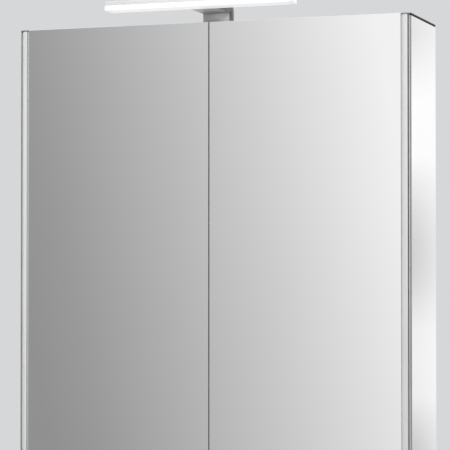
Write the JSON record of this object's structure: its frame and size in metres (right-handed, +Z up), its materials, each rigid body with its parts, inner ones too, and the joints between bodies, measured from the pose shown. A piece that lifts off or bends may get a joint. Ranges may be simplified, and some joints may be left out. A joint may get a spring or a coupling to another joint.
{
  "type": "medicine cabinet with mirror",
  "caption": "Wall-hung bathroom cabinet in aluminium and glass with mirror doors on pivot hinges, glass shelves, a service unit and a slim lamp bar on a bracket above the doors.",
  "frame": {"origin": "middle of the back panel's rear face, on the wall", "axes": "+Z up, +Y into the wall, so the doors face -Y, and +X to the right of a person facing the cabinet"},
  "size_m": [0.65, 0.2125, 0.7117],
  "materials": {
    "aluminium_profile": "satin anodised extrusion",
    "aluminium_panel": "satin anodised sheet",
    "door_mirror": "silvered float glass with polished arrises",
    "side_mirror": "silvered float glass with ground arrises",
    "satin_metal": "satin, fine grain",
    "dark_trim": "dark grey, satin",
    "lamp_cover": "bright satin anodised extrusion",
    "diffuser": "opal acrylic, lit from inside",
    "board": "white solder mask on aluminium",
    "steel": "bright zinc plate",
    "white_panel": "white powder coat",
    "white_plastic": "fine moulded grain",
    "shelf_glass": "clear float glass, polished edges",
    "rubber": "matt",
    "silicone": "translucent, soft"
  },
  "bodies": {
    "carcass": {"back_mirror": "side_mirror", "back_panel": "white_panel", "bottom_panel": "aluminium_panel", "bottom_trim_left": "dark_trim", "bottom_trim_right": "dark_trim", "bracket_screw_left": "steel", "bracket_screw_right": "steel", "cable_grommet": "rubber", "door_bumper_left": "silicone", "door_bumper_right": "silicone", "hanger_plate_left": "steel", "hanger_plate_right": "steel", "lamp_bracket": "satin_metal", "lamp_cover": "lamp_cover", "lamp_diffuser": "diffuser", "lamp_lead": "rubber", "lead_clip": "white_plastic", "lead_grommet": "rubber", "led_board": "board", "led_driver": "white_plastic", "magnet_catch": "white_plastic", "pivot_cap_bottom_left": "satin_metal", "pivot_cap_bottom_right": "satin_metal", "pivot_cap_top_left": "satin_metal", "pivot_cap_top_right": "satin_metal", "pivot_pin_bottom_left": "steel", "pivot_pin_bottom_right": "steel", "pivot_pin_top_left": "steel", "pivot_pin_top_right": "steel", "service_box": "white_plastic", "service_fascia": "aluminium_panel", "shelf_lower": "shelf_glass", "shelf_pin_lower_front_left": "steel", "shelf_pin_lower_front_right": "steel", "shelf_pin_lower_rear_left": "steel", "shelf_pin_lower_rear_right": "steel", "shelf_pin_upper_front_left": "steel", "shelf_pin_upper_front_right": "steel", "shelf_pin_upper_rear_left": "steel", "shelf_pin_upper_rear_right": "steel", "shelf_upper": "shelf_glass", "side_mirror_left": "side_mirror", "side_mirror_right": "side_mirror", "side_profile_left": "aluminium_profile", "side_profile_right": "aluminium_profile", "socket_insert": "white_plastic", "top_panel": "aluminium_panel", "top_trim_left": "dark_trim", "top_trim_right": "dark_trim"},
    "left_door": {"door_mirror_left": "door_mirror", "door_inner_mirror_left": "door_mirror", "hinge_profile_left": "aluminium_profile", "strike_plate_left": "steel"},
    "right_door": {"door_mirror_right": "door_mirror", "door_inner_mirror_right": "door_mirror", "hinge_profile_right": "aluminium_profile", "strike_plate_right": "steel"},
    "rocker": {"rocker_switch": "white_plastic"}
  },
  "joints": [
    {"name": "left_door_hinge", "type": "hinge", "parent": "carcass", "child": "left_door", "pos_m": [-0.3164, -0.1525, 0], "axis": [0, 0, -1], "range_deg": [0, 110]},
    {"name": "right_door_hinge", "type": "hinge", "parent": "carcass", "child": "right_door", "pos_m": [0.3164, -0.1525, 0], "axis": [0, 0, 1], "range_deg": [0, 110]},
    {"name": "rocker_tilt", "type": "hinge", "parent": "carcass", "child": "rocker", "pos_m": [0.165, -0.0582, 0.3098], "axis": [1, 0, 0], "range_deg": [0, 12]}
  ]
}
